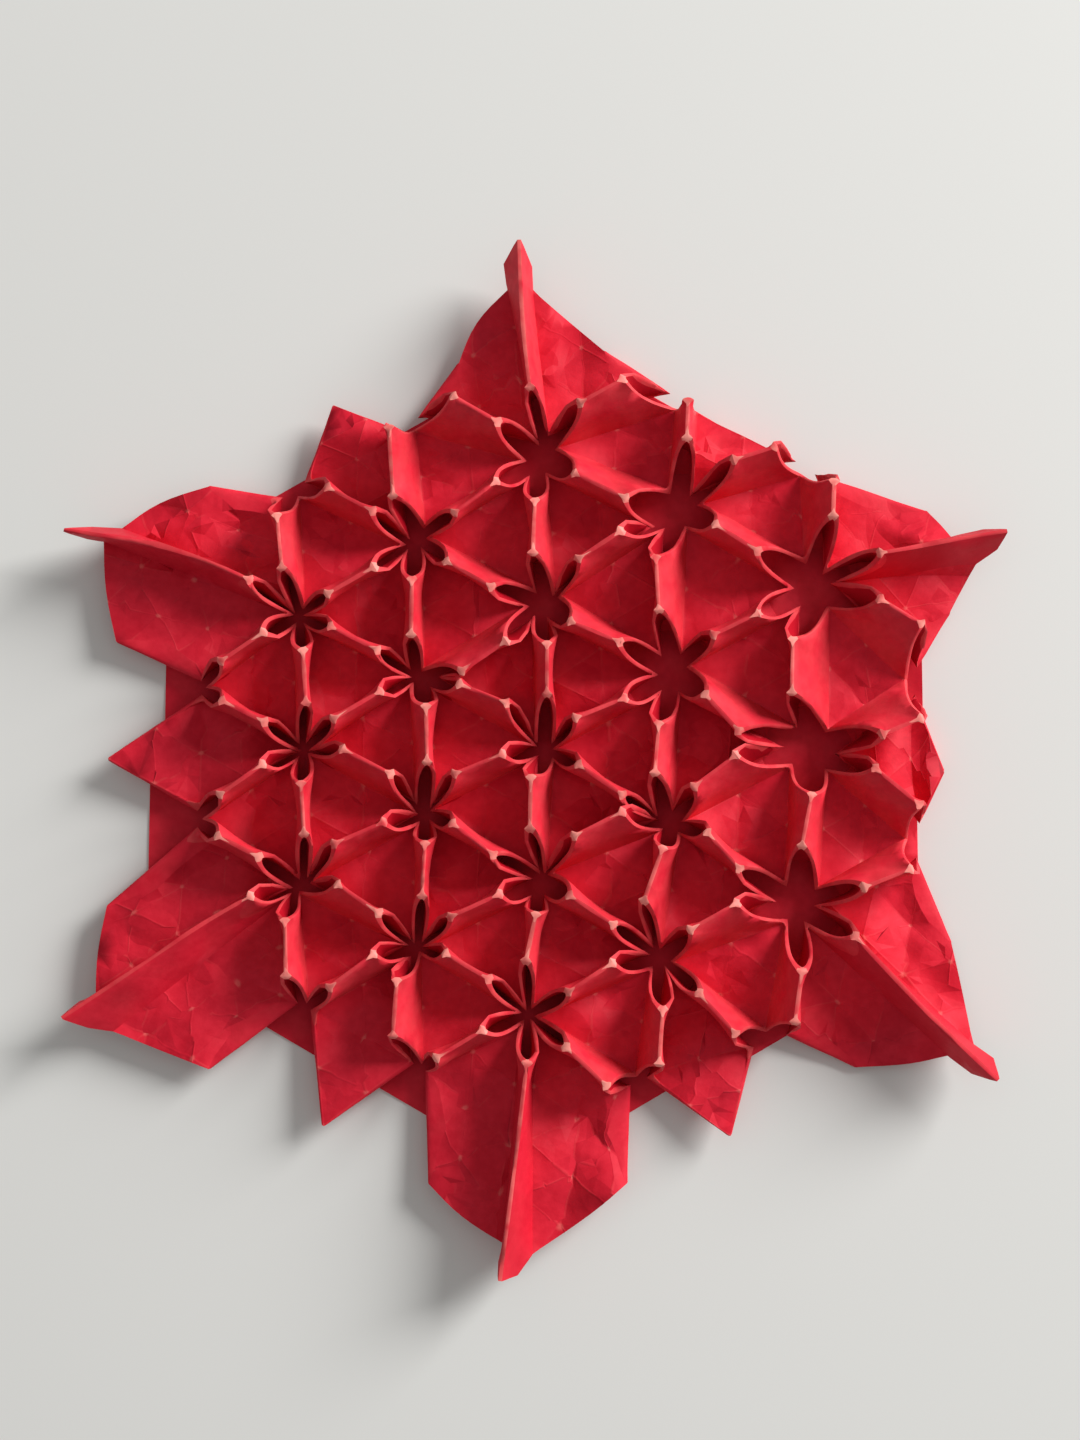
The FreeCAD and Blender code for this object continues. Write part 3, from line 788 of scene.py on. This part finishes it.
def lattice_height(place, heights):
    """A height from the unfolded sheet's grid, flat between its lines."""
    row = (place[1] - place[0] * math.tan(math.radians(30)))
    column = place[0] / math.cos(math.radians(30))
    i, j = math.floor(column), math.floor(row)
    u, v = column - i, row - j
    corners = ((i + 1, j, u), (i, j + 1, v), (i, j, 1 - u - v))
    if u + v > 1:
        corners = ((i, j + 1, 1 - u), (i + 1, j, 1 - v), (i + 1, j + 1, u + v - 1))
    return sum(heights(a, b) * share for a, b, share in corners)


def grid_heights():
    """A repeatable random height for each corner of the grid."""
    store = {}

    def height(i, j):
        if (i, j) not in store:
            store[(i, j)] = random.Random(7919 * i + 104729 * j).uniform(-1, 1)
        return store[(i, j)]
    return height


def unevenness(mesh):
    """Moves each point a little off its face, as handled paper does."""
    heights = grid_heights()
    flat = mesh.attributes["flat"].data
    places = [OFF_THE_GRID] * len(mesh.vertices)
    for loop in mesh.loops:
        places[loop.vertex_index] = flat[loop.index].vector
    shifts = []
    for vert in mesh.vertices:
        place = places[vert.index]
        soft = noise.noise(vert.co * BROAD_NOISE) * BULGE
        soft += noise.noise(vert.co * FINE_NOISE) * BULGE * FINE_SHARE
        shifts.append(lattice_height(place, heights) * FACET_RISE + soft)
    normals = [vert.normal.copy() for vert in mesh.vertices]
    for vert, normal, shift in zip(mesh.vertices, normals, shifts):
        vert.co += normal * shift
        vert.co.z = max(vert.co.z, FOOT_LEVEL)


def refine(mesh):
    """Cuts long edges so that the paper can carry its fine creases."""
    build = bmesh.new()
    build.from_mesh(mesh)
    for _ in range(2):
        long_edges = [edge for edge in build.edges if edge.calc_length() > FINE_EDGE]
        bmesh.ops.subdivide_edges(build, edges=long_edges, cuts=1, use_grid_fill=True)
    bmesh.ops.triangulate(build, faces=[face for face in build.faces if len(face.verts) > 4])
    build.to_mesh(mesh)
    build.free()


def make_paper():
    """The folded paper as one piece."""
    piece = bpy.data.objects.new("folded_paper", coarse_mesh(fold()))
    bpy.context.scene.collection.objects.link(piece)
    smooth = piece.modifiers.new("rounding", "SUBSURF")
    smooth.levels = smooth.render_levels = 2
    smooth.boundary_smooth = "PRESERVE_CORNERS"
    mesh = baked(piece)
    refine(mesh)
    unevenness(mesh)
    for vert in mesh.vertices:
        vert.co *= MM
    mesh.shade_smooth()
    light = piece.modifiers.new("lightening", "DECIMATE")
    light.ratio = FACES_KEPT
    thick = piece.modifiers.new("thickness", "SOLIDIFY")
    thick.thickness = SHEET * MM
    thick.offset = 0
    baked(piece)
    return piece


# Materials

RED = (0.75, 0.018, 0.042, 1)
DEEP_RED = (0.62, 0.008, 0.026, 1)
# Painted shade: the darker red of the walls inside the wells and of shaded leaf ridges
PAINTED_SHADE_RED = (0.46, 0.003, 0.014, 1)
# Pale pink of wear on folds and creases, also used for painted highlight
PINK_WEAR_AND_HIGHLIGHT = (0.95, 0.30, 0.25, 1)
FLOOR_GREY = (0.77, 0.765, 0.735, 1)


class Tree:
    """Short calls for building a material's nodes."""

    def __init__(self, name):
        self.material = bpy.data.materials.new(name)
        self.material.use_nodes = True
        self.nodes = self.material.node_tree.nodes
        self.shader = self.nodes["Principled BSDF"]

    def link(self, value, socket):
        if isinstance(value, bpy.types.NodeSocket):
            self.material.node_tree.links.new(value, socket)
        else:
            socket.default_value = value

    def math(self, operation, first, second=0.0, clamp=False):
        node = self.nodes.new("ShaderNodeMath")
        node.operation = operation
        node.use_clamp = clamp
        self.link(first, node.inputs[0])
        self.link(second, node.inputs[1])
        return node.outputs[0]

    def mix(self, part, first, second):
        node = self.nodes.new("ShaderNodeMix")
        node.data_type = "RGBA"
        self.link(part, node.inputs["Factor"])
        self.link(first, node.inputs["A"])
        self.link(second, node.inputs["B"])
        return node.outputs["Result"]

    def noise(self, vector, scale, detail=3.0):
        node = self.nodes.new("ShaderNodeTexNoise")
        self.link(vector, node.inputs["Vector"])
        node.inputs["Scale"].default_value = scale
        node.inputs["Detail"].default_value = detail
        return node.outputs["Fac"]

    def attribute(self, name, output):
        node = self.nodes.new("ShaderNodeAttribute")
        node.attribute_name = name
        return node.outputs[output]

    def spread(self, value, low, high):
        """0 at low to 1 at high, and level beyond them."""
        node = self.nodes.new("ShaderNodeMapRange")
        self.link(value, node.inputs["Value"])
        node.inputs["From Min"].default_value = low
        node.inputs["From Max"].default_value = high
        return node.outputs["Result"]

    def dot(self, vector, other):
        node = self.nodes.new("ShaderNodeVectorMath")
        node.operation = "DOT_PRODUCT"
        self.link(vector, node.inputs[0])
        node.inputs[1].default_value = other
        return node.outputs["Value"]

    def bump(self, height, distance, strength, normal=None):
        node = self.nodes.new("ShaderNodeBump")
        self.link(height, node.inputs["Height"])
        node.inputs["Distance"].default_value = distance
        node.inputs["Strength"].default_value = strength
        if normal:
            self.link(normal, node.inputs["Normal"])
        return node.outputs["Normal"]


ROW_HEIGHT = 0.866             # between the grid's lines, in grid steps
FACET_BUMP = 0.0015            # how far the tilted triangles seem to stand up, in metres
CREASE_BUMP = 0.00004
FIBRE_BUMP = 0.00004
LINE_HALF_WIDTH = 0.025        # of the grid's lines, in grid steps
DOT_HALF_WIDTH = 0.07          # where the lines meet
LINE_WEAR = 0.05               # how pale the lines are
DOT_WEAR = 0.25
ROUGHNESS = 0.6
SPECULAR_LEVEL = 0.16


def grid_line(tree, flat, angle, half_width):
    """1 on one family of the unfolded grid's lines, 0 away from them."""
    across = (math.cos(angle) / ROW_HEIGHT, math.sin(angle) / ROW_HEIGHT, 0)
    place = tree.dot(flat, across)
    wave = tree.math("PINGPONG", place, 0.5)
    return tree.spread(wave, half_width, half_width * 0.35)


def facet_height(tree, flat, place, angles):
    """A height that tilts the grid's triangles to and fro, unevenly."""
    height = 0.0
    for number, angle in enumerate(angles):
        across = (math.cos(angle) / ROW_HEIGHT, math.sin(angle) / ROW_HEIGHT, 0)
        wave = tree.math("PINGPONG", tree.dot(flat, across), 1.0)
        share = tree.spread(tree.noise(place, 60.0 + 17.0 * number, 1.0), 0.35, 0.65)
        height = tree.math("ADD", tree.math("MULTIPLY", wave, share), height)
    return height


def paper_material():
    """Matt dyed paper: mottled fibres, faint grid creases, fold edges pale with wear, painted shade
    inside the wells and on some leaves' ridges, and a faint painted highlight on the pleat sides
    and crests.
    """
    tree = Tree("red_paper")
    place = tree.nodes.new("ShaderNodeTexCoord").outputs["Object"]
    flat = tree.attribute("flat", "Vector")
    mottle = tree.spread(tree.noise(place, 900.0, 4.0), 0.35, 0.68)
    cloud = tree.spread(tree.noise(place, 140.0, 3.0), 0.3, 0.7)
    fine_part = tree.math("MULTIPLY", mottle, 0.55)
    blend = tree.math("ADD", fine_part, tree.math("MULTIPLY", cloud, 0.45))
    colour = tree.mix(blend, DEEP_RED, RED)
    angles = [math.radians(a) for a in (0, 60, 120)]
    lines = [grid_line(tree, flat, angle, LINE_HALF_WIDTH) for angle in angles]
    line = tree.math("MAXIMUM", tree.math("MAXIMUM", lines[0], lines[1]), lines[2])
    patches = tree.spread(tree.noise(place, 260.0, 2.0), 0.42, 0.62)
    faint = tree.math("MULTIPLY", tree.math("MULTIPLY", line, patches), LINE_WEAR)
    colour = tree.mix(faint, colour, PINK_WEAR_AND_HIGHLIGHT)
    wide = [grid_line(tree, flat, angle, DOT_HALF_WIDTH) for angle in angles]
    dot = tree.math("MULTIPLY", tree.math("MULTIPLY", wide[0], wide[1]), wide[2])
    colour = tree.mix(tree.math("MULTIPLY", dot, DOT_WEAR), colour, PINK_WEAR_AND_HIGHLIGHT)
    wear_and_painted_light = tree.attribute("wear_and_painted_light", "Fac")
    # Painted shade: faces marked below 0 turn towards a darker red
    inside = tree.math("MULTIPLY", wear_and_painted_light, -1.0, clamp=True)
    colour = tree.mix(inside, colour, PAINTED_SHADE_RED)
    # Pale pink where faces are marked above 0: fold wear, and painted highlight on pleat sides and
    # crests
    patch = tree.spread(tree.noise(place, 420.0, 2.0), 0.2, 0.6)
    wear_and_highlight = tree.math("MULTIPLY", wear_and_painted_light, patch, clamp=True)
    colour = tree.mix(wear_and_highlight, colour, PINK_WEAR_AND_HIGHLIGHT)
    tree.link(colour, tree.shader.inputs["Base Color"])
    tree.shader.inputs["Roughness"].default_value = ROUGHNESS
    tree.shader.inputs["Specular IOR Level"].default_value = SPECULAR_LEVEL
    fibres = tree.bump(tree.noise(place, 2600.0, 4.0), FIBRE_BUMP, 0.5)
    facets = tree.bump(facet_height(tree, flat, place, angles), FACET_BUMP, 1.0, fibres)
    creased = tree.bump(line, CREASE_BUMP, 0.5, facets)
    tree.link(creased, tree.shader.inputs["Normal"])
    return tree.material


def floor_material():
    tree = Tree("pale_floor")
    tree.link(FLOOR_GREY, tree.shader.inputs["Base Color"])
    tree.shader.inputs["Roughness"].default_value = ROUGHNESS
    return tree.material


# Stage, lights and camera

FLOOR_HALF = 3.0
KEY_POWER = 38.0
KEY_ELEVATION = math.radians(24)
KEY_SIDE = math.radians(33)     # the key comes from the right, this much from behind
KEY_DISTANCE = 1.6
KEY_SIZE = 0.85
SKY_STRENGTH = 0.34


def make_floor():
    corners = [(x * FLOOR_HALF, y * FLOOR_HALF, 0) for x, y in ((-1, -1), (1, -1), (1, 1), (-1, 1))]
    mesh = bpy.data.meshes.new("floor")
    mesh.from_pydata(corners, [], [(0, 1, 2, 3)])
    floor = bpy.data.objects.new("floor", mesh)
    floor.data.materials.append(floor_material())
    bpy.context.scene.collection.objects.link(floor)


def make_lights():
    world = bpy.data.worlds.new("soft_room")
    world.use_nodes = True
    sky = world.node_tree.nodes["Background"]
    sky.inputs["Color"].default_value = (1.0, 1.0, 1.0, 1)
    sky.inputs["Strength"].default_value = SKY_STRENGTH
    bpy.context.scene.world = world
    lamp = bpy.data.lights.new("key", "AREA")
    lamp.shape = "DISK"
    lamp.energy = KEY_POWER
    lamp.size = KEY_SIZE
    key = bpy.data.objects.new("key", lamp)
    way = Vector((-math.cos(KEY_SIDE), -math.sin(KEY_SIDE), -math.tan(KEY_ELEVATION)))
    way.normalize()
    key.location = -KEY_DISTANCE * way
    key.rotation_mode = "QUATERNION"
    key.rotation_quaternion = way.to_track_quat("-Z", "Y")
    bpy.context.scene.collection.objects.link(key)


def make_camera():
    forward, _ = camera_axes()
    data = bpy.data.cameras.new("camera")
    data.sensor_width = SENSOR
    data.lens = SENSOR * FOCAL_PIXELS / PHOTO_HEIGHT
    data.clip_start = 0.01
    camera = bpy.data.objects.new("camera", data)
    camera.location = camera_place() * MM
    camera.rotation_mode = "QUATERNION"
    camera.rotation_quaternion = forward.to_track_quat("-Z", "Y")
    bpy.context.scene.collection.objects.link(camera)
    bpy.context.scene.camera = camera


paper = make_paper()
paper.data.materials.clear()
paper.data.materials.append(paper_material())
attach(paper, "root")
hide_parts("folded_sheet")
make_floor()
make_lights()
make_camera()
bpy.context.scene.view_settings.view_transform = "Standard"
